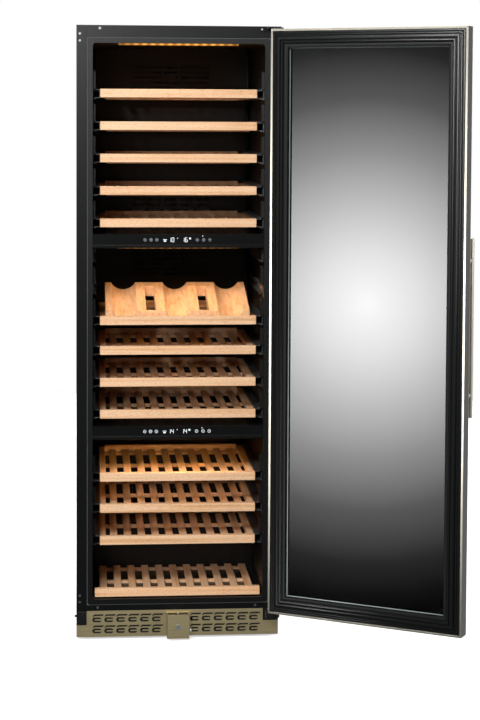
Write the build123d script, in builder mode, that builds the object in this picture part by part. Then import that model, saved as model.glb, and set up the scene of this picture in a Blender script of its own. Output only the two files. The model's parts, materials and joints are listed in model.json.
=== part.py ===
"""Tall three-zone wine cooler with a glass door hinged on the right.

Frame: X to the right, Y to the back, Z up, in millimetres.  The origin is on the floor, at the
centre of the cabinet's footprint.  The door is modelled wide open, and every shelf is pushed in.
"""
from build123d import *
import os
from math import cos, radians, sin

# Cabinet
WIDTH, DEPTH, HEIGHT = 595, 625, 1800
FRONT, BACK = -DEPTH / 2, DEPTH / 2
HALF = WIDTH / 2
SHEET = 1.2             # steel sheet of the casing
SEAM = 0.2              # gap left between neighbouring pieces
GLUE = 0.1              # glue line in the wooden shelves
KICK_BOTTOM, KICK_TOP = 8, 86
FLOOR_PLATE = 28        # underside of the base plate
BASE_SHEET = 2
STUD_RADIUS = 5         # threaded stud of each levelling foot
AXLE_RADIUS = 3         # axle of the rear rollers

# Front opening, liner and insulation
OPEN_HALF, OPEN_BOTTOM, OPEN_TOP = 250.5, 120, 1749
BAND = 14.6             # inner band, the liner's own front flange
GROOVE = 2              # shadow gap between the inner band and the casing
LINER = 2
OPEN_RADIUS = 10
FOAM_BACK = 40
LINER_BACK = BACK - SHEET - FOAM_BACK - LINER
STEP_FRONT, STEP_TOP = 48, 268      # the liner steps over the machine compartment
MACHINE_TOP = 230

# Zones, as the heights of their floors and ceilings
DIVIDERS = ((593, 630), (1154, 1194))
ZONES = {"lower": (STEP_TOP, 593), "middle": (630, 1154), "upper": (1194, OPEN_TOP)}
LEDGE = 9               # lip along the bottom of each control panel
BAR_HEIGHT = {"lower": 2.4, "middle": 2.4, "upper": 4.5}        # light bars, lower behind a ledge
COVER_FRONT = 217       # front of the panels that hide the evaporators
COVER_HALF = 238
FAN_DROP = 90           # each fan's centre below its zone's ceiling
FAN_RADIUS = 50
FAN_THICK, FAN_BLADES = 14, 7
SPINDLE_RADIUS, SPINDLE_PLAY = 3, 0.05
SHELL_RADIUS, SHELL_HEIGHT = 72, 165        # the compressor's shell

# Shelves, as the heights of their front rails' top edges
SHELF_TOPS = (1616.5, 1522, 1428, 1333.5, 1239, 953, 865, 771, 677, 490.6, 398, 303)
DISPLAY = 5             # index of the sloping display shelf
SPARE_TOPS = (1140, 1046)           # runner levels with no shelf
RAIL_LENGTH, RAIL_HEIGHT, RAIL_THICK = 457, 25, 20
RAIL_FRONT = FRONT + 14
SHELF_DEPTH = 486
SIDE_RAIL = 18
SLAT_WIDTH, SLAT_THICK, SLAT_DROP = 22, 6, 14
SLAT_PITCH, SLAT_COUNT = 41.5, 10
CROSSBAR = 18
RACK_ANGLE = 16         # slope of the display rack
CRADLE_PITCH, CRADLE_RADIUS = 157, 41
WINDOW_WIDTH, WINDOW_LENGTH = 29, 192
BOTTOM_RAIL_LENGTH, BOTTOM_RAIL_TOP = 487, 147.6

# Telescopic runners
RUNNER_SHEET = 1.6
RUNNER_LENGTH = 456
RUNNER_DROP = 14        # runner's centre line below the top of the rail
FIXED_HEIGHT, FIXED_DEPTH = 30, 10.5
MOVING_HEIGHT = 24
MOVING_REACH = 246

# Door, as it stands when closed
DOOR_HALF, DOOR_BOTTOM, DOOR_TOP = 296.5, 88, 1790
DOOR_BACK = FRONT - 10              # face towards the cabinet
DOOR_FACE = FRONT - 52              # outer face
BORDER = 54                         # width of the frame round the visible glass
GLASS_HOLD = 10                     # how far the glass reaches under the frame
GLASS_BACK = FRONT - 26
PANE = 4
TRIM_BORDER = 45
EDGE_STRIP = 6
GASKET_INSET, GASKET_WIDTH = 21, 22
PIN_X, PIN_Y = DOOR_HALF - 11, FRONT - 41.6
PIN_RADIUS, PIN_CLEARANCE, PIN_DEPTH = 4, 0.05, 14
DOOR_OPEN = 150
HANDLE_LENGTH, HANDLE_CENTRE, HANDLE_RADIUS = 507, 948, 9
HANDLE_REACH, HANDLE_INSET = 45, 13

# Lock under the door
LOCK_HALF, LOCK_BOTTOM, LOCK_TOP, LOCK_REACH = 32.5, 8.5, 79, 35
LOCK_WALL = 1.5
CYLINDER_RADIUS, CYLINDER_Z = 7.9, 43
BOLT_RADIUS, BOLT_Y = 4, FRONT - 20


UPWARDS = (Align.CENTER, Align.CENTER, Align.MIN)      # a solid that stands on its own origin


def block(x, y, z, mode=Mode.ADD):
    """A plain block between the pairs of limits x, y and z."""
    with Locations((sum(x) / 2, sum(y) / 2, sum(z) / 2)):
        Box(x[1] - x[0], y[1] - y[0], z[1] - z[0], mode=mode)


def facing_front(y):
    """Upright plane at depth y, drawn as seen from the front: its own y is the height."""
    return Plane(origin=(0, y, 0), x_dir=(1, 0, 0), z_dir=(0, -1, 0))


def save(piece, name):
    """Label a finished piece and write its STEP file."""
    piece.label = name
    export_step(piece, f"parts/{name}.step")


def mirrored(x):
    """The pair of limits x on the other side of the middle."""
    return (-x[1], -x[0])


os.makedirs("parts", exist_ok=True)

# ---------------------------------------------------------------- cabinet shell
flange_in = OPEN_HALF + BAND + GROOVE
flange_top = OPEN_TOP + BAND + GROOVE
flange_bottom = OPEN_BOTTOM - BAND - GROOVE
panel_back = BACK - SHEET - SEAM
side_top = HEIGHT - SHEET - SEAM
case_bottom = FLOOR_PLATE + BASE_SHEET
side_sheet = (HALF - SHEET, HALF)
front_sheet = (FRONT, FRONT + SHEET)

with BuildPart() as outer_casing:
    for turn in (tuple, mirrored):
        block(turn(side_sheet), (FRONT, panel_back), (KICK_TOP + SEAM, side_top))
        block(turn(side_sheet), (FRONT + SHEET + SEAM, panel_back), (case_bottom, KICK_TOP + SEAM))
        block(turn((flange_in, HALF)), front_sheet, (KICK_TOP + SEAM, side_top))
    flange_x = (SEAM - flange_in, flange_in - SEAM)
    block((-HALF, HALF), (FRONT, panel_back), (HEIGHT - SHEET, HEIGHT))
    block(flange_x, front_sheet, (flange_top, HEIGHT - SHEET))
    block(flange_x, front_sheet, (KICK_TOP + SEAM, flange_bottom))
    block(flange_x, (FRONT, FRONT + 20), (KICK_TOP + SEAM, KICK_TOP + SEAM + SHEET))
save(outer_casing.part, "outer_casing")

vent_x, vent_z = 0, 130
inlet_x, inlet_z = -245, 62
with BuildPart() as back_panel:
    block((-HALF, HALF), (BACK - SHEET, BACK), (case_bottom, HEIGHT))
    with BuildSketch(facing_front(BACK)):
        with Locations((vent_x, vent_z)):
            with GridLocations(64, 12, 6, 13):
                SlotOverall(52, 5)
        with Locations((inlet_x, inlet_z)):
            Rectangle(48, 29)
    extrude(amount=SHEET, mode=Mode.SUBTRACT)
save(back_panel.part, "back_panel")

foot_x, foot_y = 250, FRONT + 50
axle_y, axle_z, roller_radius = BACK - 50, 13, 13
with BuildPart() as base_plate:
    block((-side_sheet[0], side_sheet[0]), (FRONT + SHEET + SEAM, panel_back), (FLOOR_PLATE, case_bottom))
    upstand = (FRONT + SHEET + SEAM, FRONT + SHEET + SEAM + BASE_SHEET)
    block((-side_sheet[0], side_sheet[0]), upstand, (case_bottom, KICK_TOP))
    block((-255, -40), upstand, (36, 80), mode=Mode.SUBTRACT)
    block((40, 240), upstand, (36, 80), mode=Mode.SUBTRACT)
    with Locations((-foot_x, foot_y, case_bottom), (foot_x, foot_y, case_bottom)):
        Cylinder(12, 8, align=UPWARDS)
        Hole(STUD_RADIUS + 0.1, depth=40)
    for x in (-foot_x, foot_x):
        for side in (-1, 1):
            ear_x = x + side * 14
            block((ear_x - 1.5, ear_x + 1.5), (axle_y - 10, axle_y + 10), (axle_z - 8, FLOOR_PLATE))
    with BuildSketch(Plane.YZ.offset(-HALF)):
        with Locations((axle_y, axle_z)):
            Circle(AXLE_RADIUS + 0.05)
    extrude(amount=WIDTH, mode=Mode.SUBTRACT)
save(base_plate.part, "base_plate")

# ---------------------------------------------------------------- insulation and liner
foam_x = (SEAM - OPEN_HALF - LINER, OPEN_HALF + LINER - SEAM)
foam_y = (FRONT + LINER + 1, panel_back - SEAM)
foam_back = (LINER_BACK + LINER + SEAM, panel_back - SEAM)
liner_under, liner_over = OPEN_BOTTOM - LINER, OPEN_TOP + LINER
with BuildPart() as foam_insulation:
    side_foam = (OPEN_HALF + LINER + SEAM, side_sheet[0] - SEAM)
    for turn in (tuple, mirrored):
        block(turn(side_foam), foam_y, (KICK_TOP + 2, side_top))
    block(foam_x, foam_y, (liner_over + SEAM, side_top))
    block(foam_x, foam_back, (MACHINE_TOP + SEAM, liner_over))
    block(foam_x, (foam_y[0], STEP_FRONT), (KICK_TOP + 2, liner_under - SEAM))
    block(foam_x, (STEP_FRONT + LINER + SEAM, STEP_FRONT + 34), (KICK_TOP + 2, MACHINE_TOP))
    step_foam_y = (STEP_FRONT + LINER + SEAM, LINER_BACK + LINER)
    block(foam_x, step_foam_y, (MACHINE_TOP + SEAM, STEP_TOP - LINER - SEAM))
save(foam_insulation.part, "foam_insulation")

open_centre = (0, (OPEN_BOTTOM + OPEN_TOP) / 2)
open_height = OPEN_TOP - OPEN_BOTTOM
rib_half = (OPEN_HALF - 8, OPEN_HALF)
with BuildPart() as inner_liner:
    with BuildSketch(facing_front(FRONT)):
        with Locations(open_centre):
            RectangleRounded(2 * (OPEN_HALF + BAND), open_height + 2 * BAND, 6)
    extrude(amount=-LINER)
    with BuildSketch(facing_front(FRONT)):
        with Locations(open_centre):
            RectangleRounded(2 * (OPEN_HALF + LINER), open_height + 2 * LINER, OPEN_RADIUS + LINER)
    extrude(amount=FRONT - LINER_BACK - LINER)
    with BuildSketch(facing_front(FRONT)):
        with Locations(open_centre):
            RectangleRounded(2 * OPEN_HALF, open_height, OPEN_RADIUS)
    extrude(amount=FRONT - LINER_BACK, mode=Mode.SUBTRACT)
    block((-HALF, HALF), (STEP_FRONT, BACK), (0, STEP_TOP), mode=Mode.SUBTRACT)
    skin_x = (-OPEN_HALF - LINER, OPEN_HALF + LINER)
    block(skin_x, (STEP_FRONT, STEP_FRONT + LINER), (liner_under, STEP_TOP))
    block(skin_x, (STEP_FRONT, LINER_BACK + LINER), (STEP_TOP - LINER, STEP_TOP))
    for top in SHELF_TOPS + SPARE_TOPS:
        rib_bottom = top - RUNNER_DROP + FIXED_HEIGHT / 2
        for turn in (tuple, mirrored):
            block(turn(rib_half), (FRONT + 24, FRONT + 52), (rib_bottom, rib_bottom + 50))
    for low, high in DIVIDERS:
        block((-OPEN_HALF, OPEN_HALF), (FRONT + 10, FRONT + 60), (low, high), mode=Mode.SUBTRACT)
save(inner_liner.part, "inner_liner")

divider_front = FRONT + 10
with BuildPart() as zone_dividers:
    for low, high in DIVIDERS:
        block((-OPEN_HALF, OPEN_HALF), (divider_front, LINER_BACK), (low, high))
save(zone_dividers.part, "zone_dividers")

with BuildPart() as control_panels:
    for low, high in DIVIDERS:
        panel_x = (SEAM - OPEN_HALF, OPEN_HALF - SEAM)
        block(panel_x, (FRONT + 3, divider_front), (low + LEDGE, high))
        block(panel_x, (FRONT + 0.5, divider_front), (low, low + LEDGE))
    fillet(control_panels.edges().filter_by(Axis.X).group_by(Axis.Y)[0], 1.2)
save(control_panels.part, "control_panels")

with BuildPart() as light_bars:
    for zone, (floor, ceiling) in ZONES.items():
        block((-175, 175), (FRONT + 28, FRONT + 44), (ceiling - BAR_HEIGHT[zone], ceiling))
save(light_bars.part, "light_bars")


# ---------------------------------------------------------------- cooling
def fan_wheel(plane, radius, hub):
    """A fan with tilted blades round a hub that runs on a spindle."""
    with BuildPart(plane) as wheel:
        Cylinder(hub, FAN_THICK)
        with PolarLocations((hub + radius) / 2 - 1, FAN_BLADES):
            Box(radius - hub + 2, FAN_THICK * 1.5, 2, rotation=(38, 0, 0))
        Hole(SPINDLE_RADIUS + SPINDLE_PLAY)
    return wheel.part


fan_y = COVER_FRONT + 17
with BuildPart() as evaporator_covers:
    for floor, ceiling in ZONES.values():
        high = (floor + SEAM, ceiling - SEAM)
        block((-COVER_HALF, COVER_HALF), (COVER_FRONT, COVER_FRONT + 2.5), high)
        for turn in (tuple, mirrored):
            block(turn((COVER_HALF - 2, COVER_HALF)), (COVER_FRONT, LINER_BACK), high)
        with BuildSketch(facing_front(COVER_FRONT)):
            with Locations((0, ceiling - FAN_DROP), (0, floor + 60)):
                with GridLocations(52, 16, 5, 5):
                    SlotOverall(44, 6)
        extrude(amount=-2.5, mode=Mode.SUBTRACT)
        with BuildSketch(facing_front(COVER_FRONT + 2.5)):
            with Locations((0, ceiling - FAN_DROP)):
                Circle(16)
        extrude(amount=-4)
        with BuildSketch(facing_front(COVER_FRONT + 6)):
            with Locations((0, ceiling - FAN_DROP)):
                Circle(SPINDLE_RADIUS)
        extrude(amount=-20)
save(evaporator_covers.part, "evaporator_covers")

with BuildPart() as evaporator_coils:
    for floor, ceiling in ZONES.values():
        coil_middle = (floor + ceiling - 2 * FAN_DROP) / 2 - 10
        coil_half = (ceiling - floor - 2 * FAN_DROP) / 2 - 30
        with Locations((0, COVER_FRONT + 34, coil_middle)):
            with GridLocations(15, 1, 25, 1):
                Box(1, 26, 2 * coil_half)
        rows = max(2, int(coil_half // 22))
        for row in range(rows):
            tube_z = coil_middle - coil_half + (row + 0.5) * 2 * coil_half / rows
            with Locations(Location((0, COVER_FRONT + 34, tube_z), (0, 90, 0))):
                Cylinder(4, 400)
save(evaporator_coils.part, "evaporator_coils")

for zone, (floor, ceiling) in ZONES.items():
    fan_plane = Plane(origin=(0, fan_y, ceiling - FAN_DROP), x_dir=(1, 0, 0), z_dir=(0, 1, 0))
    save(fan_wheel(fan_plane, FAN_RADIUS, 17), f"fan_{zone}")

compressor_x, compressor_y = 140, 195
with BuildPart(Plane(origin=(compressor_x, compressor_y, case_bottom))) as compressor:
    with Locations((0, 0, 12)):
        Cylinder(SHELL_RADIUS, SHELL_HEIGHT, align=UPWARDS)
    fillet(compressor.edges().filter_by(GeomType.CIRCLE).group_by(Axis.Z)[-1], 42)
    fillet(compressor.edges().filter_by(GeomType.CIRCLE).group_by(Axis.Z)[0], 24)
    with Locations((0, 0, 92)):
        Cylinder(SHELL_RADIUS + 4, 5, align=UPWARDS)
    with Locations((0, 0, 9)):
        Box(196, 120, 4, align=UPWARDS)
    with Locations((0, 0, 8)):
        Cylinder(40, 14, align=UPWARDS)
    with GridLocations(168, 92, 2, 2):
        Cylinder(11, 10, align=UPWARDS)
    with Locations((-SHELL_RADIUS - 6, 0, 60)):
        Box(26, 56, 62, align=UPWARDS)
save(compressor.part, "compressor")

coil_x = (-225, -35)
coil_middle_x = sum(coil_x) / 2
coil_z = (case_bottom, 214)
coil_middle_z = 124
shroud_y = 172
with BuildPart() as condenser:
    with Locations((coil_middle_x, 140, coil_middle_z)):
        with GridLocations(10, 1, 18, 1):
            Box(1, 44, 168)
    for row in range(6):
        for tube_y in (128, 152):
            tube_z = coil_middle_z - 70 + row * 28
            with Locations(Location((coil_middle_x, tube_y, tube_z), (0, 90, 0))):
                Cylinder(4.5, coil_x[1] - coil_x[0] + 1)
    for x in coil_x:
        block((x - 1, x + 1), (116, shroud_y), coil_z)
    block((coil_x[0] - 1, coil_x[1] + 1), (shroud_y - 2, shroud_y), coil_z)
    with BuildSketch(facing_front(shroud_y - 2)):
        with Locations((coil_middle_x, coil_middle_z)):
            Circle(76)
            Circle(22, mode=Mode.SUBTRACT)
            with PolarLocations(49, 3):
                Rectangle(60, 8, mode=Mode.SUBTRACT)
    extrude(amount=-2, mode=Mode.SUBTRACT)
    with BuildSketch(facing_front(shroud_y)):
        with Locations((coil_middle_x, coil_middle_z)):
            Circle(SPINDLE_RADIUS)
    extrude(amount=-22)
save(condenser.part, "condenser")

condenser_fan_plane = Plane(
    origin=(coil_middle_x, shroud_y + 13, coil_middle_z), x_dir=(1, 0, 0), z_dir=(0, 1, 0)
)
save(fan_wheel(condenser_fan_plane, 70, 20), "condenser_fan")

with BuildPart() as power_inlet:
    block((inlet_x - 29, inlet_x + 29), (BACK, BACK + 2.5), (inlet_z - 17, inlet_z + 17))
    block((inlet_x - 23.8, inlet_x + 23.8), (BACK - 26, BACK), (inlet_z - 14.3, inlet_z + 14.3))
    socket_y = (BACK - 16, BACK + 2.5)
    block((inlet_x - 12, inlet_x + 12), socket_y, (inlet_z - 8, inlet_z + 8), mode=Mode.SUBTRACT)
    for pin_dx, pin_dz in ((-7, 0), (0, 3), (7, 0)):
        block(
            (inlet_x + pin_dx - 1, inlet_x + pin_dx + 1),
            (BACK - 16, BACK - 2),
            (inlet_z + pin_dz - 2, inlet_z + pin_dz + 2),
        )
save(power_inlet.part, "power_inlet")


# ---------------------------------------------------------------- shelves and runners
def runner_channel(web_x, lip_x, height, top, start):
    """One member of a telescopic runner: a channel with its web at web_x and lips to lip_x."""
    middle = top - RUNNER_DROP
    inward = RUNNER_SHEET if lip_x > web_x else -RUNNER_SHEET
    length = (start, start + RUNNER_LENGTH)
    block(sorted((web_x, web_x + inward)), length, (middle - height / 2, middle + height / 2))
    for edge in (middle - height / 2, middle + height / 2 - RUNNER_SHEET):
        block(sorted((web_x, lip_x)), length, (edge, edge + RUNNER_SHEET))


with BuildPart() as fixed_runners:
    for top in SHELF_TOPS + SPARE_TOPS:
        for side in (-1, 1):
            lip_x = side * (OPEN_HALF - FIXED_DEPTH)
            runner_channel(side * OPEN_HALF, lip_x, FIXED_HEIGHT, top, FRONT + 34)
save(fixed_runners.part, "fixed_runners")


def moving_runners(top):
    """The pair of runner members that are screwed to one shelf's side rails."""
    with BuildPart() as runners:
        for side in (-1, 1):
            web_x = side * (RAIL_LENGTH / 2 + GLUE)
            runner_channel(web_x, side * MOVING_REACH, MOVING_HEIGHT, top, RAIL_FRONT + RAIL_THICK + 1)
    return runners.part


def shelf_frame(top, with_slats):
    """Front rail, side rails, back rail, crossbars and, on a plain shelf, lengthwise slats."""
    half = RAIL_LENGTH / 2
    rail_back = RAIL_FRONT + RAIL_THICK
    shelf_back = RAIL_FRONT + SHELF_DEPTH
    inside = half - SIDE_RAIL - GLUE
    slat_top = top - SLAT_DROP
    block((-half, half), (RAIL_FRONT, rail_back), (top - RAIL_HEIGHT, top))
    for turn in (tuple, mirrored):
        block(turn((half - SIDE_RAIL, half)), (rail_back + GLUE, shelf_back), (top - 24, top - 8))
    block((-inside, inside), (shelf_back - 18, shelf_back), (top - 24, top - 2))
    bar_top = slat_top - SLAT_THICK - GLUE
    for bar_y in (rail_back + 22, rail_back + 225, shelf_back - 36):
        block((-inside, inside), (bar_y - CROSSBAR / 2, bar_y + CROSSBAR / 2), (bar_top - 9, bar_top))
    if with_slats:
        slat_y = (rail_back + GLUE, shelf_back - 18 - GLUE)
        with Locations((0, sum(slat_y) / 2, slat_top - SLAT_THICK / 2)):
            with GridLocations(SLAT_PITCH, 1, SLAT_COUNT, 1):
                Box(SLAT_WIDTH, slat_y[1] - slat_y[0], SLAT_THICK)


def plain_shelf(top):
    with BuildPart() as shelf:
        shelf_frame(top, with_slats=True)
    return shelf.part


def display_shelf(top):
    """A shelf whose sloping rack shows three bottles, with two windows between the cradles."""
    slope = radians(RACK_ANGLE)
    rack_front = (0, RAIL_FRONT + RAIL_THICK + 12, top - SLAT_DROP - 4)
    across = Plane(origin=rack_front, x_dir=(1, 0, 0), z_dir=(0, -cos(slope), -sin(slope)))
    along = Plane(origin=rack_front, x_dir=(1, 0, 0), z_dir=(0, -sin(slope), cos(slope)))
    with BuildPart() as shelf:
        shelf_frame(top, with_slats=False)
        with BuildSketch(across):
            with Locations((0, 16)):
                Rectangle(424, 32)
            with Locations((0, 9 + CRADLE_RADIUS)):
                with GridLocations(CRADLE_PITCH, 1, 3, 1):
                    Circle(CRADLE_RADIUS, mode=Mode.SUBTRACT)
        extrude(amount=-235)
        with BuildSketch(along):
            with Locations((0, 8 + WINDOW_LENGTH / 2)):
                with GridLocations(CRADLE_PITCH, 1, 2, 1):
                    Rectangle(WINDOW_WIDTH, WINDOW_LENGTH)
        extrude(amount=60, both=True, mode=Mode.SUBTRACT)
    return shelf.part


for number, top in enumerate(SHELF_TOPS, start=1):
    make_shelf = display_shelf if number - 1 == DISPLAY else plain_shelf
    save(make_shelf(top), f"shelf_{number:02d}")
    save(moving_runners(top), f"runners_{number:02d}")

with BuildPart() as bottom_shelf:
    rail_back = RAIL_FRONT + RAIL_THICK
    bottom_half = BOTTOM_RAIL_LENGTH / 2
    block((-bottom_half, bottom_half), (RAIL_FRONT, rail_back), (BOTTOM_RAIL_TOP - 24.2, BOTTOM_RAIL_TOP))
    slat_top = BOTTOM_RAIL_TOP - SLAT_DROP
    for bar_y in (rail_back + 30, rail_back + 155, STEP_FRONT - 20):
        block((-230, 230), (bar_y - 10, bar_y + 10), (OPEN_BOTTOM, slat_top - SLAT_THICK - GLUE))
    slat_y = (rail_back + GLUE, STEP_FRONT - 6)
    with Locations((0, sum(slat_y) / 2, slat_top - SLAT_THICK / 2)):
        with GridLocations(SLAT_PITCH + 2, 1, SLAT_COUNT + 1, 1):
            Box(SLAT_WIDTH, slat_y[1] - slat_y[0], SLAT_THICK)
save(bottom_shelf.part, "bottom_shelf")

# ---------------------------------------------------------------- plinth, lock and feet
vent_pitch_x, vent_pitch_z = 35, 33
vent_bar = [(-16.5, 5), (-11.5, 11), (-9, 12), (17.5, 12), (14.8, 7), (-9, 7), (-12, 5)]
bottom_hinge_x = (252, HALF)
cover_x = (-HALF, -267)
with BuildPart() as kick_plate:
    block((-HALF, HALF), front_sheet, (KICK_BOTTOM, KICK_TOP))
    block(bottom_hinge_x, front_sheet, (50, KICK_TOP), mode=Mode.SUBTRACT)
    block(cover_x, front_sheet, (44, KICK_TOP), mode=Mode.SUBTRACT)
    with BuildSketch(facing_front(FRONT)):
        for middle_x in (-147, 140):
            with Locations((middle_x, 47)):
                with GridLocations(vent_pitch_x, vent_pitch_z, 6, 2):
                    Polygon(*vent_bar, align=None)
                    with Locations((-2.8, -4.5)):
                        RectangleRounded(26.5, 14.5, 6.5)
                    with Locations((-9, -4.5)):
                        Rectangle(20, 4.2, align=(Align.MIN, Align.CENTER), mode=Mode.SUBTRACT)
    extrude(amount=-SHEET, mode=Mode.SUBTRACT)
save(kick_plate.part, "kick_plate")

lock_y = (FRONT - LOCK_REACH, FRONT)
with BuildPart() as lock_cover:
    block((-LOCK_HALF, LOCK_HALF), lock_y, (LOCK_BOTTOM, LOCK_TOP))
    fillet(lock_cover.edges().filter_by(Axis.Z).group_by(Axis.Y)[0], 2)
    block(
        (LOCK_WALL - LOCK_HALF, LOCK_HALF - LOCK_WALL),
        (lock_y[0] + LOCK_WALL, FRONT),
        (LOCK_BOTTOM + LOCK_WALL, LOCK_TOP - LOCK_WALL),
        mode=Mode.SUBTRACT,
    )
    block((-30, 30), (BOLT_Y - 10, BOLT_Y + 15), (LOCK_TOP - 5, LOCK_TOP + 5), mode=Mode.SUBTRACT)
    with BuildSketch(facing_front(lock_y[0] + LOCK_WALL)):
        with Locations((0, CYLINDER_Z)):
            Circle(13)
    extrude(amount=-8)
    with BuildSketch(facing_front(lock_y[0] - 5)):
        with Locations((0, CYLINDER_Z)):
            Circle(CYLINDER_RADIUS + 0.1)
    extrude(amount=-25, mode=Mode.SUBTRACT)
save(lock_cover.part, "lock_cover")

with BuildPart() as lock_cylinder:
    with BuildSketch(facing_front(lock_y[0] - 2.5)):
        with Locations((0, CYLINDER_Z)):
            Circle(CYLINDER_RADIUS)
    extrude(amount=-16)
    with BuildSketch(facing_front(lock_y[0] - 2.5)):
        with Locations((0, CYLINDER_Z)):
            Rectangle(1.6, 8)
    extrude(amount=-8, mode=Mode.SUBTRACT)
save(lock_cylinder.part, "lock_cylinder")

with BuildPart(Plane(origin=(0, BOLT_Y, LOCK_TOP + 2.5))) as lock_bolt:
    Cylinder(BOLT_RADIUS, 24, align=(Align.CENTER, Align.CENTER, Align.MAX))
    chamfer(lock_bolt.edges().group_by(Axis.Z)[-1], 1)
save(lock_bolt.part, "lock_bolt")

for name, x in (("foot_left", -foot_x), ("foot_right", foot_x)):
    with BuildPart(Plane(origin=(x, foot_y, 0))) as foot:
        Cylinder(20, 9, align=UPWARDS)
        fillet(foot.edges().group_by(Axis.Z)[-1], 3)
        Cylinder(STUD_RADIUS, 58, align=UPWARDS)
    save(foot.part, name)

with BuildPart() as rear_rollers:
    for x in (-foot_x, foot_x):
        with Locations(Location((x, axle_y, axle_z), (0, 90, 0))):
            Cylinder(roller_radius, 20)
    with Locations(Location((0, axle_y, axle_z), (0, 90, 0))):
        Cylinder(AXLE_RADIUS, 2 * foot_x + 44)
save(rear_rollers.part, "rear_rollers")

# ---------------------------------------------------------------- hinges and trims on the cabinet
arm_top, arm_bottom = KICK_TOP, 70
arm_height = arm_top - arm_bottom
plate_z = (DOOR_TOP + 1.5, DOOR_TOP + 5)
with BuildPart() as hinge_brackets:
    block((233, 292), (FRONT - 3, FRONT), (1784, 1798))
    block((256, PIN_X + 14), (PIN_Y, FRONT), plate_z)
    with Locations((PIN_X, PIN_Y, sum(plate_z) / 2)):
        Cylinder(14, plate_z[1] - plate_z[0])
    with Locations((PIN_X, PIN_Y, plate_z[0])):
        Cylinder(PIN_RADIUS, PIN_DEPTH, align=(Align.CENTER, Align.CENTER, Align.MAX))
    block((256, 297), (FRONT - 4, upstand[0]), (52, arm_top))
    block((257, PIN_X + 12), (PIN_Y, FRONT - 4), (arm_bottom, arm_top))
    block((257, PIN_X), (PIN_Y - 12, PIN_Y), (arm_bottom, arm_top))
    with Locations((PIN_X, PIN_Y, arm_bottom)):
        Cylinder(12, arm_height, align=UPWARDS)
        Cylinder(8, arm_height + 1.5, align=UPWARDS)
        Cylinder(PIN_RADIUS, arm_height + PIN_DEPTH, align=UPWARDS)
save(hinge_brackets.part, "hinge_brackets")

with BuildPart() as hinge_cover:
    block((-296.5, -268), (FRONT - 5, upstand[0]), (46, 85))
    fillet(hinge_cover.edges().group_by(Axis.Y)[0], 1.5)
    block((-303, -296), (FRONT - 4, FRONT - 1), (70, 76))
save(hinge_cover.part, "hinge_cover")

plug_places = (
    (-287.5, 1775), (-287.5, 1755), (-230, 1791), (-287.5, 132), (-287.5, 113), (-235, 96), (229, 96),
)
with BuildPart() as cabinet_screws:
    with BuildSketch(facing_front(FRONT)):
        with Locations(*plug_places):
            Circle(3.6)
    extrude(amount=1.2)
    with BuildSketch(facing_front(FRONT - 3)):
        with Locations((240, 1791), (286, 1788)):
            Circle(3)
    extrude(amount=0.9)
    with BuildSketch(facing_front(FRONT - 4)):
        with Locations((263, 61), (289, 61)):
            Circle(4)
    extrude(amount=1.2)
save(cabinet_screws.part, "cabinet_screws")

# ---------------------------------------------------------------- door, swung open about its pins
door_across = Vector(cos(radians(DOOR_OPEN)), sin(radians(DOOR_OPEN)), 0)
door_inward = Vector(-sin(radians(DOOR_OPEN)), cos(radians(DOOR_OPEN)), 0)


def on_door(x, y, z):
    """Where a point of the closed door goes when the door is open."""
    return Vector(PIN_X, PIN_Y, z) + door_across * (x - PIN_X) + door_inward * (y - PIN_Y)


def door_face(y):
    """Upright plane of the open door at the closed depth y, drawn as the closed door's front."""
    return Plane(origin=on_door(0, y, 0), x_dir=door_across, z_dir=-door_inward)


def door_level(z):
    """Level plane of the open door: its own x and y are the closed door's, from the pin."""
    return Plane(origin=(PIN_X, PIN_Y, z), x_dir=door_across, z_dir=(0, 0, 1))


def mitred_frame(inset, width):
    """Four strips with mitred corners, inset from the door's edge, as one sketch's faces."""
    left, right = inset - DOOR_HALF, DOOR_HALF - inset
    low, high = DOOR_BOTTOM + inset, DOOR_TOP - inset
    gap = SEAM / 2
    upright = ((left, low + gap), (left + width, low + width + gap), (left + width, high - width - gap),
               (left, high - gap))
    level = ((left + gap, low), (right - gap, low), (right - width - gap, low + width),
             (left + width + gap, low + width))
    Polygon(*upright, align=None)
    Polygon(*[(-x, z) for x, z in reversed(upright)], align=None)
    Polygon(*level, align=None)
    Polygon(*[(x, low + high - z) for x, z in reversed(level)], align=None)


glass_half = DOOR_HALF - BORDER + GLASS_HOLD
glass_low, glass_high = DOOR_BOTTOM + BORDER - GLASS_HOLD, DOOR_TOP - BORDER + GLASS_HOLD
trim_sheet = 1.2
with BuildPart() as door_inner_frame:
    with BuildSketch(door_face(DOOR_FACE + trim_sheet)):
        mitred_frame(0, BORDER - GLASS_HOLD)
    extrude(amount=DOOR_FACE + trim_sheet - GLASS_BACK)
    with BuildSketch(door_face(GLASS_BACK)):
        mitred_frame(0, BORDER)
    extrude(amount=GLASS_BACK - DOOR_BACK)
    with BuildSketch(door_face(DOOR_BACK - 1)):
        mitred_frame(0, EDGE_STRIP)
    extrude(amount=-2, mode=Mode.SUBTRACT)
    with BuildSketch(door_level(DOOR_BOTTOM - 1)):
        Circle(PIN_RADIUS + PIN_CLEARANCE)
        with Locations((0 - PIN_X, BOLT_Y - PIN_Y)):
            Circle(BOLT_RADIUS + 2)
    extrude(amount=PIN_DEPTH + 3, mode=Mode.SUBTRACT)
    with BuildSketch(door_level(DOOR_TOP + 1)):
        Circle(PIN_RADIUS + PIN_CLEARANCE)
    extrude(amount=-PIN_DEPTH - 3, mode=Mode.SUBTRACT)
save(door_inner_frame.part, "door_inner_frame")

with BuildPart() as door_steel_trim:
    with BuildSketch(door_face(DOOR_FACE)):
        mitred_frame(0, TRIM_BORDER)
    extrude(amount=-trim_sheet)
    with BuildSketch(door_face(DOOR_BACK - 1)):
        mitred_frame(0, EDGE_STRIP)
    extrude(amount=-1)
save(door_steel_trim.part, "door_steel_trim")

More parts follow.
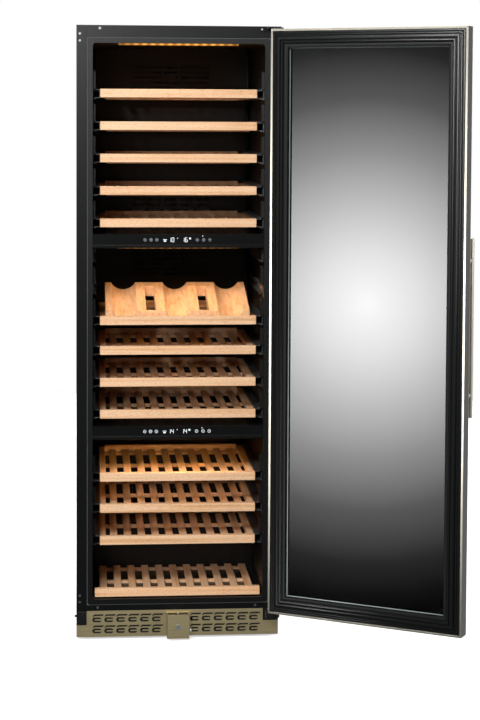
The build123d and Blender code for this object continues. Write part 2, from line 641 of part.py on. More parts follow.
with BuildPart() as door_glass:
    for pane_front in (DOOR_FACE + trim_sheet, GLASS_BACK - PANE):
        with BuildSketch(door_face(pane_front)):
            with Locations((0, (glass_low + glass_high) / 2)):
                Rectangle(2 * glass_half, glass_high - glass_low)
        extrude(amount=-PANE)
save(door_glass.part, "door_glass")

with BuildPart() as door_gasket:
    with BuildSketch(door_face(DOOR_BACK)):
        mitred_frame(GASKET_INSET, GASKET_WIDTH)
    extrude(amount=-3)
    with BuildSketch(door_face(DOOR_BACK + 3)):
        mitred_frame(GASKET_INSET + 4, GASKET_WIDTH - 8)
    extrude(amount=-6.7)
save(door_gasket.part, "door_gasket")

handle_x = HANDLE_INSET - DOOR_HALF
handle_low = HANDLE_CENTRE - HANDLE_LENGTH / 2
with BuildPart() as door_handle:
    with BuildSketch(door_level(handle_low)):
        with Locations((handle_x - PIN_X, DOOR_FACE - HANDLE_REACH - PIN_Y)):
            Circle(HANDLE_RADIUS)
    extrude(amount=HANDLE_LENGTH)
    chamfer(door_handle.edges().filter_by(GeomType.CIRCLE), 1.2)
    with BuildSketch(door_face(DOOR_FACE)):
        with Locations((handle_x, HANDLE_CENTRE - 190), (handle_x, HANDLE_CENTRE + 190)):
            Circle(6)
    extrude(amount=HANDLE_REACH)
save(door_handle.part, "door_handle")
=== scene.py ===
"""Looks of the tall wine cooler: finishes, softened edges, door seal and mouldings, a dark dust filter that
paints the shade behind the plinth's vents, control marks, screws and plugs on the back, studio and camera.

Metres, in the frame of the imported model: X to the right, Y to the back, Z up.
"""

import json
import math
import random

import bmesh
import bpy
from mathutils import Matrix, Vector

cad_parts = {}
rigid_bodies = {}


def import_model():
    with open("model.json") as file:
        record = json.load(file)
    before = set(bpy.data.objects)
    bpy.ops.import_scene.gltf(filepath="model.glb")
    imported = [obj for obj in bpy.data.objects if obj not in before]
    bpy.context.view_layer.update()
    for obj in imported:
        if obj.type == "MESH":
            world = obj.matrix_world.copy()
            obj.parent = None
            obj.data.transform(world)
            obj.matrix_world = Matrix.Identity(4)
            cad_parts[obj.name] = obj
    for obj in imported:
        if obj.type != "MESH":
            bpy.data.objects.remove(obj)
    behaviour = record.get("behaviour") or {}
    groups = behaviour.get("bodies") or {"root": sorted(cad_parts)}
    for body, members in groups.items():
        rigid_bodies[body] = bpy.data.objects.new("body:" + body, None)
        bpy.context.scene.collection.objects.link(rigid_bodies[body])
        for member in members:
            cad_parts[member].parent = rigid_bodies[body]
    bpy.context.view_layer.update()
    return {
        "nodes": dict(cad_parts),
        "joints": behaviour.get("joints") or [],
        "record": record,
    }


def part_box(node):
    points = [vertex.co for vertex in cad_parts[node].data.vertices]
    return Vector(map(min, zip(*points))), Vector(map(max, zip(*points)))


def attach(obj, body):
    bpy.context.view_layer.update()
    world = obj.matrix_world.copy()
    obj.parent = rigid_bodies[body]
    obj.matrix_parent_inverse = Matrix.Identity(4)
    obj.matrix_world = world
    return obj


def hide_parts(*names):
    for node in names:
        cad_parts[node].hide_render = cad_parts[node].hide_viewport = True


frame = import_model()
MM = 0.001
WELD = 0.005 * MM      # vertices nearer to each other than this are one

record = frame["record"]
SLOT_OF = {row["node"]: row["material_slot"] for row in record["subparts"]}
BODY_OF = {name: body for body, names in record["behaviour"]["bodies"].items() for name in names}

# The door is stored open: it stands turned about its pin from where it shuts.
hinge = next(j for j in frame["joints"] if j["name"] == "door_hinge")
PIN = Vector((hinge["pos_m"][0], hinge["pos_m"][1], 0))
DOOR_TURN = Matrix.Rotation(-math.radians(hinge["range_deg"][0]), 4, "Z")
SWING = Matrix.Translation(PIN) @ DOOR_TURN @ Matrix.Translation(-PIN)


def corners_of(points):
    """Lowest and highest corner of the box round some points."""
    return (Vector([min(p[i] for p in points) for i in range(3)]),
            Vector([max(p[i] for p in points) for i in range(3)]))


def shut_box(node_name):
    """Lowest and highest corner that a door node has when the door is shut."""
    back = SWING.inverted()
    return corners_of([back @ v.co for v in frame["nodes"][node_name].data.vertices])


# ---------------------------------------------------------------- working with shaders
def shade(hex_colour):
    """An sRGB hex value as a linear colour."""
    channels = [int(hex_colour[i:i + 2], 16) / 255 for i in (1, 3, 5)]
    return (*[c / 12.92 if c <= 0.04045 else ((c + 0.055) / 1.055) ** 2.4 for c in channels], 1)


def per_metre(size_mm):
    """How many features of that size fit in a metre, which is a texture's scale."""
    return 1000 / size_mm


def node(tree, kind, inputs=None, stops=None, **settings):
    """Adds a shader node with its settings, its values or links, and a ramp's (place, hex) stops."""
    made = tree.nodes.new(kind)
    for name, value in settings.items():
        setattr(made, name, value)
    for name, value in (inputs or {}).items():
        if isinstance(value, bpy.types.NodeSocket):
            tree.links.new(value, made.inputs[name])
        else:
            made.inputs[name].default_value = value
    for place, _ in (stops or ())[1:-1]:
        made.color_ramp.elements.new(place)
    for element, (place, colour) in zip(made.color_ramp.elements if stops else (), stops or ()):
        element.position, element.color = place, shade(colour)
    return made


def surface(name, **sockets):
    """A material with one Principled shader, with its sockets named by their words joined up."""
    material = bpy.data.materials.new(name)
    material.use_nodes = True
    shader = material.node_tree.nodes["Principled BSDF"]
    for words, value in sockets.items():
        shader.inputs[words.replace("_", " ")].default_value = value
    return material, material.node_tree, shader


def clouded(tree, shader, colour, size_mm, spread=0.15):
    """Lets a base colour drift a little lighter and darker over patches of about size_mm."""
    where = node(tree, "ShaderNodeTexCoord").outputs["Object"]
    cloud = node(tree, "ShaderNodeTexNoise", {"Vector": where, "Scale": per_metre(size_mm), "Detail": 3})
    base = Vector(shade(colour)[:3])
    drift = node(tree, "ShaderNodeMix", {
        "Factor": cloud.outputs["Fac"], "A": (*(base * (1 - spread)), 1), "B": (*(base * (1 + spread)), 1),
    }, data_type="RGBA")
    tree.links.new(drift.outputs["Result"], shader.inputs["Base Color"])
    return where


def grained(tree, shader, where, size_mm, height_mm):
    """Raises a fine bump of about size_mm across and height_mm tall."""
    grain = node(tree, "ShaderNodeTexNoise", {"Vector": where, "Scale": per_metre(size_mm), "Detail": 2})
    bump = node(tree, "ShaderNodeBump", {"Height": grain.outputs["Fac"], "Distance": height_mm * MM})
    tree.links.new(bump.outputs["Normal"], shader.inputs["Normal"])


# ---------------------------------------------------------------- finishes
def casing_powder_coat():
    """Satin black polyester powder, baked on steel: orange peel 2.5 mm across blurs its highlights."""
    material, tree, shader = surface("powder_coated_steel", Roughness=0.3, IOR=1.48)
    where = clouded(tree, shader, "#0B0C0C", 350)
    grained(tree, shader, where, 2.5, 0.02)
    return material


def liner_abs():
    """Vacuum-formed ABS, drawn over a grained mould: softer than the steel and a little waxy."""
    material, tree, shader = surface("vacuum_formed_abs", Roughness=0.38, IOR=1.5)
    where = clouded(tree, shader, "#080808", 220)
    grained(tree, shader, where, 1.6, 0.05)
    return material


def panel_abs():
    """Injection-moulded ABS, polished mould: nearly black, with sharp reflections."""
    material, tree, shader = surface("polished_moulded_abs", Roughness=0.24, IOR=1.53)
    where = clouded(tree, shader, "#0D0E0E", 120)
    grained(tree, shader, where, 3.0, 0.01)
    return material


def door_abs():
    """Extruded ABS door profile: satin, with faint drawing lines."""
    material, tree, shader = surface("extruded_door_abs", Roughness=0.3, IOR=1.5)
    where = clouded(tree, shader, "#101112", 150)
    grained(tree, shader, where, 1.2, 0.02)
    return material


def gasket_pvc():
    """Soft black PVC: extruded, slightly oily, with a fine matt skin."""
    material, tree, shader = surface("magnetic_seal_pvc", Roughness=0.32, IOR=1.5)
    where = clouded(tree, shader, "#0E0F0F", 90)
    grained(tree, shader, where, 0.9, 0.03)
    return material


def moulded_nylon():
    """Glass-filled nylon: dry and matt."""
    material, tree, shader = surface("moulded_nylon", Roughness=0.55, IOR=1.53)
    where = clouded(tree, shader, "#141414", 30)
    grained(tree, shader, where, 0.8, 0.05)
    return material


def fan_abs():
    """Thin moulded fan blades: satin charcoal with the moulding's flow marks."""
    material, tree, shader = surface("moulded_fan_abs", Roughness=0.45, IOR=1.53)
    where = clouded(tree, shader, "#202223", 25, 0.25)
    grained(tree, shader, where, 1.2, 0.03)
    return material


def black_lacquer():
    """Air-dried black lacquer on steel: glossy, with soft sags."""
    material, tree, shader = surface("black_lacquered_steel", Roughness=0.28, IOR=1.5)
    where = clouded(tree, shader, "#0E0F0F", 80)
    grained(tree, shader, where, 12, 0.08)
    return material


def blown_foam():
    """Rigid polyurethane foam: straw-yellow, open cells 1.5 mm across on its cut faces."""
    material, tree, shader = surface("polyurethane_foam", Roughness=0.9)
    where = clouded(tree, shader, "#E3CF98", 60)
    grained(tree, shader, where, 1.5, 0.6)
    return material


def galvanised():
    """Hot-dip galvanised sheet: zinc crystals 12 mm across, each at its own slight tilt."""
    material, tree, shader = surface("galvanised_sheet", Metallic=1, Roughness=0.42)
    where = node(tree, "ShaderNodeTexCoord").outputs["Object"]
    spangle = node(tree, "ShaderNodeTexVoronoi", {"Vector": where, "Scale": per_metre(12)})
    tint = node(tree, "ShaderNodeValToRGB", {"Fac": spangle.outputs["Color"]}, (
        (0.1, "#A6AAAE"), (0.9, "#BABDC0"),
    ))
    tree.links.new(tint.outputs["Color"], shader.inputs["Base Color"])
    rough = node(tree, "ShaderNodeMapRange", {
        "Value": spangle.outputs["Color"], "To Min": 0.4, "To Max": 0.47,
    })
    tree.links.new(rough.outputs["Result"], shader.inputs["Roughness"])
    return material


def ground_steel(name, colour, along, across_mm, roughness):
    """Metal with fine lines 90 mm long, ground with a belt or drawn through rolls: they spread each
    highlight across them. They are drawn coarser than the real 0.05 mm ones, so that they show."""
    material, tree, shader = surface(name, Metallic=1, Roughness=roughness, Anisotropic=0.4)
    scale = [per_metre(across_mm)] * 3
    scale[along] = per_metre(90)
    where = node(tree, "ShaderNodeTexCoord").outputs["Object"]
    drawn_out = node(tree, "ShaderNodeMapping", {"Vector": where, "Scale": scale})
    lines = node(tree, "ShaderNodeTexNoise", {
        "Vector": drawn_out.outputs["Vector"], "Scale": 1, "Detail": 3,
    })
    base = Vector(shade(colour)[:3])
    tone = node(tree, "ShaderNodeMix", {
        "Factor": lines.outputs["Fac"], "A": (*(base * 0.72), 1), "B": (*(base * 1.2), 1),
    }, data_type="RGBA")
    tree.links.new(tone.outputs["Result"], shader.inputs["Base Color"])
    rough = node(tree, "ShaderNodeMapRange", {
        "Value": lines.outputs["Fac"], "To Min": roughness - 0.08, "To Max": roughness + 0.1,
    })
    tree.links.new(rough.outputs["Result"], shader.inputs["Roughness"])
    bump = node(tree, "ShaderNodeBump", {
        "Height": lines.outputs["Fac"], "Strength": 0.4, "Distance": 0.02 * MM,
    })
    tree.links.new(bump.outputs["Normal"], shader.inputs["Normal"])
    return material


def beech():
    """Steamed beech, planed, sanded and sealed: pale pink-brown bands along the board, and the short
    dark flecks of its rays."""
    material, tree, shader = surface(
        "steamed_beech", Roughness=0.5, IOR=1.5, Coat_Weight=0.12, Coat_Roughness=0.4
    )
    board = node(tree, "ShaderNodeAttribute", attribute_name="board").outputs["Vector"]
    bands_at = node(tree, "ShaderNodeMapping", {
        "Vector": board, "Scale": (per_metre(600), per_metre(11), per_metre(16)),
    })
    bands = node(tree, "ShaderNodeTexNoise", {
        "Vector": bands_at.outputs["Vector"], "Scale": 1, "Detail": 5, "Distortion": 0.4,
    })
    wood = node(tree, "ShaderNodeValToRGB", {"Fac": bands.outputs["Fac"]}, (
        (0.28, "#CE9A66"), (0.45, "#E2B58A"), (0.6, "#E9C39D"), (0.78, "#DBA979"),
    ))
    flecks_at = node(tree, "ShaderNodeMapping", {
        "Vector": board, "Scale": (per_metre(9), per_metre(1.1), per_metre(1.1)),
    })
    flecks = node(tree, "ShaderNodeTexNoise", {
        "Vector": flecks_at.outputs["Vector"], "Scale": 1, "Detail": 1,
    })
    dark = node(tree, "ShaderNodeValToRGB", {"Fac": flecks.outputs["Fac"]}, (
        (0.3, "#BF8A58"), (0.42, "#FFFFFF"),
    ))
    flecked = node(tree, "ShaderNodeMix", {
        "Factor": 0.6, "A": wood.outputs["Color"], "B": dark.outputs["Color"],
    }, data_type="RGBA", blend_type="MULTIPLY")
    tree.links.new(flecked.outputs["Result"], shader.inputs["Base Color"])
    bump = node(tree, "ShaderNodeBump", {
        "Height": bands.outputs["Fac"], "Strength": 0.3, "Distance": 0.1 * MM,
    })
    tree.links.new(bump.outputs["Normal"], shader.inputs["Normal"])
    return material


def tinted_glass():
    """Grey float glass with a metal-oxide coating: a clear mirror that lets little light through."""
    material, tree, shader = surface(
        "coated_grey_glass", Base_Color=shade("#1E1F1F"), Roughness=0, IOR=1.75, Transmission_Weight=1
    )
    where = node(tree, "ShaderNodeTexCoord").outputs["Object"]
    smear = node(tree, "ShaderNodeTexNoise", {"Vector": where, "Scale": per_metre(160), "Detail": 3})
    rough = node(tree, "ShaderNodeMapRange", {
        "Value": smear.outputs["Fac"], "From Min": 0.5, "To Max": 0.004,
    })
    tree.links.new(rough.outputs["Result"], shader.inputs["Roughness"])
    return material


def led_cover():
    """Frosted amber strip over a row of light-emitting diodes set 25 mm apart, each a brighter spot.
    The glow fades to a quarter between 110 and 176 mm from the middle."""
    material, tree, shader = surface(
        "frosted_amber_strip", Base_Color=shade("#D99A4A"), Roughness=0.5, Emission_Color=shade("#FFAE4D")
    )
    where = node(tree, "ShaderNodeTexCoord").outputs["Object"]
    along = node(tree, "ShaderNodeSeparateXYZ", {"Vector": where}).outputs["X"]
    turns = node(tree, "ShaderNodeMath", {0: along, 1: math.tau * per_metre(25)}, operation="MULTIPLY")
    wave = node(tree, "ShaderNodeMath", {0: turns.outputs[0]}, operation="COSINE")
    glow = node(tree, "ShaderNodeMapRange", {
        "Value": wave.outputs[0], "From Min": -1, "To Min": 0.2, "To Max": 1.3,
    })
    off_middle = node(tree, "ShaderNodeMath", {0: along}, operation="ABSOLUTE")
    fade = node(tree, "ShaderNodeMapRange", {
        "Value": off_middle.outputs[0], "From Min": 110 * MM, "From Max": 176 * MM,
        "To Min": 1, "To Max": 0.25,
    })
    dimmed = node(tree, "ShaderNodeMath", {
        0: glow.outputs["Result"], 1: fade.outputs["Result"],
    }, operation="MULTIPLY")
    tree.links.new(dimmed.outputs[0], shader.inputs["Emission Strength"])
    return material


def lit_print():
    """Translucent white print over a lamp: the control marks and figures."""
    material, tree, shader = surface(
        "lit_white_print", Base_Color=shade("#DDE4E8"), Roughness=0.5, Emission_Color=shade("#DCE8F0")
    )
    where = node(tree, "ShaderNodeTexCoord").outputs["Object"]
    uneven = node(tree, "ShaderNodeTexNoise", {"Vector": where, "Scale": per_metre(9)})
    glow = node(tree, "ShaderNodeMapRange", {"Value": uneven.outputs["Fac"], "To Min": 0.3, "To Max": 0.7})
    tree.links.new(glow.outputs["Result"], shader.inputs["Emission Strength"])
    return material


def glazing_bead_pvc():
    """Extruded soft PVC of the glazing bead: dull black, pressed into the frame around the glass."""
    material, tree, shader = surface("black_glazing_bead", Roughness=0.45, IOR=1.5)
    where = clouded(tree, shader, "#0B0C0C", 60)
    grained(tree, shader, where, 1.5, 0.03)
    return material


def glazing_sealant():
    """Sealant over an aluminium spacer: dull, with the cool green cast of the glass's edge."""
    material, tree, shader = surface("grey_glazing_sealant", Roughness=0.4, IOR=1.5)
    where = clouded(tree, shader, "#7D8785", 40)
    grained(tree, shader, where, 2.0, 0.05)
    return material


def highlight_grey_tape():
    """Closed-cell foam tape, made soft mid-grey so that it paints an edge highlight: the light line in the
    gap that it fills.
    """
    material, tree, shader = surface("grey_foam_tape", Roughness=0.7, IOR=1.45)
    where = clouded(tree, shader, "#5E6364", 30)
    grained(tree, shader, where, 1.0, 0.1)
    return material


# A metal's numbers are the axis that its lines follow, the lines' width in millimetres and the
# roughness. Nickel plate is the palest and zinc plate the darkest of them.
FINISHES = {
    "casing_steel": casing_powder_coat(),
    "galvanised_sheet": galvanised(),
    "insulation": blown_foam(),
    "liner_plastic": liner_abs(),
    "panel_plastic": panel_abs(),
    "light_cover": led_cover(),
    "coil_aluminium": ground_steel("bare_aluminium", "#B9BDBF", 2, 1.0, 0.4),
    "black_paint": black_lacquer(),
    "runner_steel": ground_steel("zinc_plated_steel", "#8C9092", 1, 1.5, 0.38),
    "beech": beech(),
    "stainless": ground_steel("belt_ground_stainless", "#CDBE94", 0, 0.7, 0.46),
    "lock_chrome": ground_steel("nickel_plated_steel", "#E4E4E2", 0, 0.5, 0.34),
    "roller_plastic": moulded_nylon(),
    "fan_plastic": fan_abs(),
    "door_plastic": door_abs(),
    "tinted_glass": tinted_glass(),
    "gasket_rubber": gasket_pvc(),
}
UPRIGHT_STEEL = ground_steel("belt_ground_stainless_upright", "#D2CCBD", 2, 0.7, 0.33)
LIT_PRINT = lit_print()
for name, cad in frame["nodes"].items():
    cad.data.materials.clear()
    cad.data.materials.append(FINISHES[SLOT_OF[name]])


# ---------------------------------------------------------------- making pieces
def piece_from(bm, name, body, slot_name, material=None):
    """Turns a finished bmesh into a piece that rides on a body."""
    mesh = bpy.data.meshes.new(name)
    bm.to_mesh(mesh)
    bm.free()
    piece = bpy.data.objects.new(name, mesh)
    bpy.context.scene.collection.objects.link(piece)
    mesh.materials.append(material or FINISHES[slot_name])
    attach(piece, body)
    return piece


def soften_edges(piece, edge_mm):
    """Breaks a piece's sharp edges and shades it smoothly between them."""
    bevel = piece.modifiers.new("broken_edges", "BEVEL")
    bevel.width, bevel.segments = edge_mm * MM, 2
    bevel.limit_method, bevel.angle_limit = "ANGLE", math.radians(40)
    piece.data.shade_smooth()
    piece.modifiers.new("flat_faces", "WEIGHTED_NORMAL").keep_sharp = True


def softened(node_name, edge_mm, material=None):
    """A CAD node's own shape with its sharp edges broken, standing for the node."""
    bm = bmesh.new()
    bm.from_mesh(frame["nodes"][node_name].data)
    bmesh.ops.remove_doubles(bm, verts=bm.verts, dist=WELD)
    bmesh.ops.dissolve_limit(bm, angle_limit=math.radians(1), verts=bm.verts, edges=bm.edges)
    piece = piece_from(bm, node_name + "_finished", BODY_OF[node_name], SLOT_OF[node_name], material)
    soften_edges(piece, edge_mm)
    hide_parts(node_name)
    return piece


def islands(bm):
    """The separate solids of a mesh, each as a list of vertices, in the order that the mesh stores
    them, so that each run gives them the same random numbers."""
    seen = set()
    for first in bm.verts:
        if first in seen:
            continue
        seen.add(first)
        found = []
        queue = [first]
        while queue:
            vertex = queue.pop()
            found.append(vertex)
            for edge in vertex.link_edges:
                other = edge.other_vert(vertex)
                if other not in seen:
                    seen.add(other)
                    queue.append(other)
        yield found


def follow_the_grain(piece, chance):
    """Gives every board its own place in the wood: along, across and through its own length."""
    bm = bmesh.new()
    bm.from_mesh(piece.data)
    layer = bm.verts.layers.float_vector.new("board")
    for board in islands(bm):
        low, high = corners_of([v.co for v in board])
        size = [high[i] - low[i] for i in range(3)]
        order = sorted(range(3), key=lambda i: -size[i])
        start = Vector([chance.uniform(0, 5) for _ in order])
        for vertex in board:
            vertex[layer] = Vector([vertex.co[i] for i in order]) + start
    bm.to_mesh(piece.data)
    bm.free()


def mitred_ring(bm, profile, low, high, depth):
    """Sweeps a closed profile round an upright rectangle with mitred corners. The profile's points
    are (distance in from the rectangle's edge, distance back from depth)."""
    corners = (
        (low.x, low.z, 1, 1), (high.x, low.z, -1, 1), (high.x, high.z, -1, -1), (low.x, high.z, 1, -1),
    )
    rings = []
    for x, z, to_x, to_z in corners:
        verts = [bm.verts.new((x + to_x * i, depth + d, z + to_z * i)) for i, d in profile]
        rings.append([bm.edges.new((a, b)) for a, b in zip(verts, verts[1:] + verts[:1])])
    for one, other in zip(rings, rings[1:] + rings[:1]):
        bmesh.ops.bridge_loops(bm, edges=one + other)
    bmesh.ops.recalc_face_normals(bm, faces=bm.faces)


def rounded_profile(points, radius):
    """A profile with its corners rounded, as a die or a mould leaves them."""
    steps = 3
    rounded = []
    for before, corner, after in zip(points[-1:] + points[:-1], points, points[1:] + points[:1]):
        corner = Vector(corner)
        to_before, to_after = Vector(before) - corner, Vector(after) - corner
        reach = min(radius, to_before.length * 0.45, to_after.length * 0.45)
        start, end = corner + to_before.normalized() * reach, corner + to_after.normalized() * reach
        for step in range(steps + 1):
            t = step / steps
            rounded.append(tuple(start * (1 - t) ** 2 + corner * 2 * t * (1 - t) + end * t ** 2))
    return rounded


# ---------------------------------------------------------------- door
frame_low, frame_high = shut_box("door_inner_frame")
glass_low, glass_high = shut_box("door_glass")
seal_low, seal_high = shut_box("door_gasket")


def door_seal():
    """Magnetic bellows seal: a foot in the door's groove, two folds and a flat magnet pocket."""
    out = (seal_high.y - seal_low.y) / MM
    foot_start, foot_end = 0.5, 21.5
    points = [
        (foot_start, 0), (foot_start, 2.2), (3.6, 2.6), (1.4, 4.6), (2.2, out - 0.8), (5.4, out),
        (9.6, out), (11.2, out - 1.4), (12.2, out - 5), (13.6, out - 5), (14.4, out - 1.8),
        (16.6, out - 0.8), (19.4, out - 1.6), (20.6, out - 4.6), (19.0, 2.4), (foot_end, 2), (foot_end, 0),
    ]
    profile = rounded_profile([(inset * MM, depth * MM) for inset, depth in points], 1.3 * MM)
    bm = bmesh.new()
    mitred_ring(bm, profile, seal_low, seal_high, seal_low.y)
    bmesh.ops.transform(bm, matrix=SWING, verts=bm.verts)
    piece = piece_from(bm, "door_seal", "door", "gasket_rubber")
    piece.data.shade_smooth()
    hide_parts("door_gasket")


def moulding_round_door(name, points_mm, radius_mm, slot_name="door_plastic", material=None):
    """A moulded profile that runs round the back of the door frame. Its points are millimetres in
    from the door's edge and out from the frame's back face."""
    profile = [(inset * MM, out * MM) for inset, out in points_mm]
    bm = bmesh.new()
    mitred_ring(bm, rounded_profile(profile, radius_mm * MM), frame_low, frame_high, frame_high.y)
    bmesh.ops.transform(bm, matrix=SWING, verts=bm.verts)
    piece = piece_from(bm, name, "door", slot_name, material)
    piece.data.shade_smooth()


BORDER_MM = 54         # the frame's width round the glass
GLASS_MM = (glass_high.y - frame_high.y) / MM      # the glass's face, out from the frame's back
LIP_MM = GLASS_MM + 3      # where bead and spacer meet, 3 mm proud of the glass
door_seal()
moulding_round_door("door_outer_ridge", [(7.5, -0.5), (7.5, 2.6), (13.5, 3.2), (13.5, -0.5)], 2.4)
moulding_round_door("door_middle_ridge", [(15, -0.5), (15, 3.6), (19.5, 4.2), (19.5, -0.5)], 2.0)
moulding_round_door(
    "glazing_bead",
    [(44.5, -0.3), (44.5, 1.6), (49, 1.4), (BORDER_MM, -0.6), (BORDER_MM, LIP_MM),
     (BORDER_MM - 0.4, LIP_MM), (BORDER_MM - 0.4, -0.3)],
    0.15, "door_plastic", glazing_bead_pvc(),
)
moulding_round_door(
    "glazing_spacer",
    [(BORDER_MM - 0.3, GLASS_MM + 0.1), (BORDER_MM - 0.3, LIP_MM), (BORDER_MM + 0.8, LIP_MM),
     (BORDER_MM + 2.2, GLASS_MM + 0.9), (BORDER_MM + 2.2, GLASS_MM + 0.1)],
    0.2, "coil_aluminium", glazing_sealant(),
)


# ---------------------------------------------------------------- cabinet front
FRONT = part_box("outer_casing")[0].y
liner_low, liner_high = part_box("inner_liner")


def groove_tape():
    """Foam tape in the gap between the liner's flange and the casing, its grey a painted highlight line."""
    low = Vector((liner_low.x, FRONT, liner_low.z))
    high = Vector((liner_high.x, FRONT, liner_high.z))
    profile = [(2 * MM, 2.1 * MM), (2 * MM, 2.8 * MM), (-3.8 * MM, 2.8 * MM), (-3.8 * MM, 2.1 * MM)]
    bm = bmesh.new()
    mitred_ring(bm, profile, low, high, FRONT)
    piece_from(bm, "groove_tape", "cabinet", "gasket_rubber", highlight_grey_tape())


def intake_filter():
    """Woven dust filter behind the plinth's vents, made dark so that it paints the shade behind them: black
    threads 4 mm apart over a dark backing, one panel behind the base plate's windows and one below the
    plate."""
    low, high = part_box("kick_plate")
    plate_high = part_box("base_plate")[1]
    below_plate = (low.z + 5 * MM, plate_high.z - 58.3 * MM, FRONT + 1.7 * MM)
    behind_windows = (plate_high.z - 55.5 * MM, high.z - 2 * MM, FRONT + 3.7 * MM)
    left_vents, right_vents = (-0.256, -0.041), (0.041, 0.239)
    spacing, thread, thick = 4 * MM, 0.9 * MM, 0.7 * MM
    bm = bmesh.new()

    def strip(place, size):
        bmesh.ops.create_cube(bm, size=1, matrix=Matrix.Translation(place) @ Matrix.Diagonal((*size, 1)))

    for x0, x1 in (left_vents, right_vents):
        for z0, z1, depth in (below_plate, behind_windows):
            x, z, wide, tall = (x0 + x1) / 2, (z0 + z1) / 2, x1 - x0, z1 - z0
            strip((x, depth + 1.7 * MM, z), (wide, 0.6 * MM, tall))
            rows, columns = round(tall / spacing), round(wide / spacing)
            for row in range(rows):
                strip((x, depth + 0.9 * MM, z0 + (row + 0.5) * tall / rows), (wide, thick, thread))
            for column in range(columns):
                strip((x0 + (column + 0.5) * wide / columns, depth + 0.5 * MM, z), (thread, thick, tall))
    piece_from(bm, "intake_filter", "cabinet", "fan_plastic")


# Grey tape in the groove paints the light line of an edge highlight.
groove_tape()
# A dark filter behind the vents paints the shade there.
intake_filter()


# ---------------------------------------------------------------- control marks
SEGMENTS = {0: "abcdef", 1: "bc", 4: "bcfg", 6: "acdefg"}
PRINT_THICK = 0.25 * MM


def flat_bar(bm, x, z, width, height, face):
    """A thin raised bar of print standing on the panel's face."""
    place = Matrix.Translation((x, face - PRINT_THICK / 2, z))
    place @= Matrix.Diagonal((width, PRINT_THICK, height, 1))
    bmesh.ops.create_cube(bm, size=1, matrix=place)


def figure(bm, number, x, z, face):
    """One seven-segment figure, 12 mm tall."""
    half = 6 * MM
    width, stroke = half, half * 0.26
    bars = {
        "a": (0, half, width, stroke), "g": (0, 0, width, stroke), "d": (0, -half, width, stroke),
        "f": (-width / 2, half / 2, stroke, half), "b": (width / 2, half / 2, stroke, half),
        "e": (-width / 2, -half / 2, stroke, half), "c": (width / 2, -half / 2, stroke, half),
    }
    for key in SEGMENTS[number]:
        dx, dz, wide, tall = bars[key]
        flat_bar(bm, x + dx, z + dz, wide * 0.9, tall * 0.9, face)


def key_ring(bm, x, z, face):
    """A printed ring round a touch key, with a short bar inside it."""
    radius = 4.6 * MM
    turn = Matrix.Translation((x, face, z)) @ Matrix.Rotation(math.radians(90), 4, "X")
    outer = bmesh.ops.create_circle(bm, segments=28, radius=radius, matrix=turn)["verts"]
    inner = bmesh.ops.create_circle(bm, segments=28, radius=radius * 0.78, matrix=turn)["verts"]
    edges = list(dict.fromkeys(edge for vertex in outer + inner for edge in vertex.link_edges))
    faces = bmesh.ops.bridge_loops(bm, edges=edges)["faces"]
    bmesh.ops.solidify(bm, geom=faces, thickness=PRINT_THICK)
    flat_bar(bm, x, z, radius * 0.8, radius * 0.22, face)


def control_marks(name, low, high, readings):
    """The touch keys, lamp mark and two temperature readings of one control panel. They stand on its
    face, 2.5 mm behind its foremost edge."""
    keys_mm, figures_mm = (-98, -81, -64, 54, 73, 91), (-26, -17, 13, 22)
    face = low.y + 2.5 * MM
    z = low.z + (high.z - low.z) * 0.6
    bm = bmesh.new()
    for x in keys_mm:
        key_ring(bm, x * MM, z, face)
    flat_bar(bm, -40 * MM, z + 1 * MM, 11 * MM, 1.6 * MM, face)
    flat_bar(bm, -40 * MM, z - 3.5 * MM, 7 * MM, 3.5 * MM, face)
    for x, number in zip(figures_mm, readings):
        figure(bm, number, x * MM, z, face)
    flat_bar(bm, -3 * MM, z + 5 * MM, 2 * MM, 2 * MM, face)
    flat_bar(bm, 33 * MM, z + 4 * MM, 5 * MM, 5 * MM, face)
    flat_bar(bm, 70 * MM, high.z - 5 * MM, 2.5 * MM, 2.5 * MM, face)
    bmesh.ops.recalc_face_normals(bm, faces=bm.faces)
    piece_from(bm, name, "cabinet", "panel_plastic", LIT_PRINT)


def panel_boxes():
    """The box of each control panel, from the lowest up."""
    bm = bmesh.new()
    bm.from_mesh(frame["nodes"]["control_panels"].data)
    bmesh.ops.remove_doubles(bm, verts=bm.verts, dist=WELD)
    boxes = [corners_of([v.co.copy() for v in panel]) for panel in islands(bm)]
    bm.free()
    return sorted(boxes, key=lambda pair: pair[0].z)


lower_panel, *_, upper_panel = panel_boxes()
control_marks("lower_control_marks", *lower_panel, (1, 4, 1, 4))
control_marks("upper_control_marks", *upper_panel, (1, 0, 1, 6))


# ---------------------------------------------------------------- cabinet back
def turned(bm, place, rings):
    """A turned shape facing backwards. Each ring gives a radius and a height in millimetres, and
    how deep the six lobes of a star socket cut into it."""
    sides, lobes = 36, 6
    loops = []
    for number, (radius, out, lobe) in enumerate(rings):
        centre = place + Vector((0, out * MM, 0))
        ring = bmesh.ops.create_circle(
            bm, cap_ends=number in (0, len(rings) - 1), segments=sides, radius=radius * MM,
            matrix=Matrix.Translation(centre) @ Matrix.Rotation(math.radians(90), 4, "X"),
        )["verts"]
        for vertex in ring:
            reach = vertex.co - centre
            vertex.co = centre + reach * (1 + lobe * math.cos(lobes * math.atan2(reach.z, reach.x)))
        loops.append(list(dict.fromkeys(edge for vertex in ring for edge in vertex.link_edges)))
    for one, other in zip(loops, loops[1:]):
        bmesh.ops.bridge_loops(bm, edges=one + other)


SCREW_HEAD = (
    (4.4, 0, 0), (4.4, 0.5, 0), (3.7, 1.4, 0), (2.5, 1.9, 0), (1.6, 1.95, 0.15), (1.5, 0.7, 0.15),
)
FILLING_HOLES = (0.62, 1.36)       # their heights in metres
FOAM_PLUG = ((15, 0, 0), (15, 0.8, 0), (13.6, 1.8, 0), (10.5, 1.9, 0), (9.6, 0.9, 0))


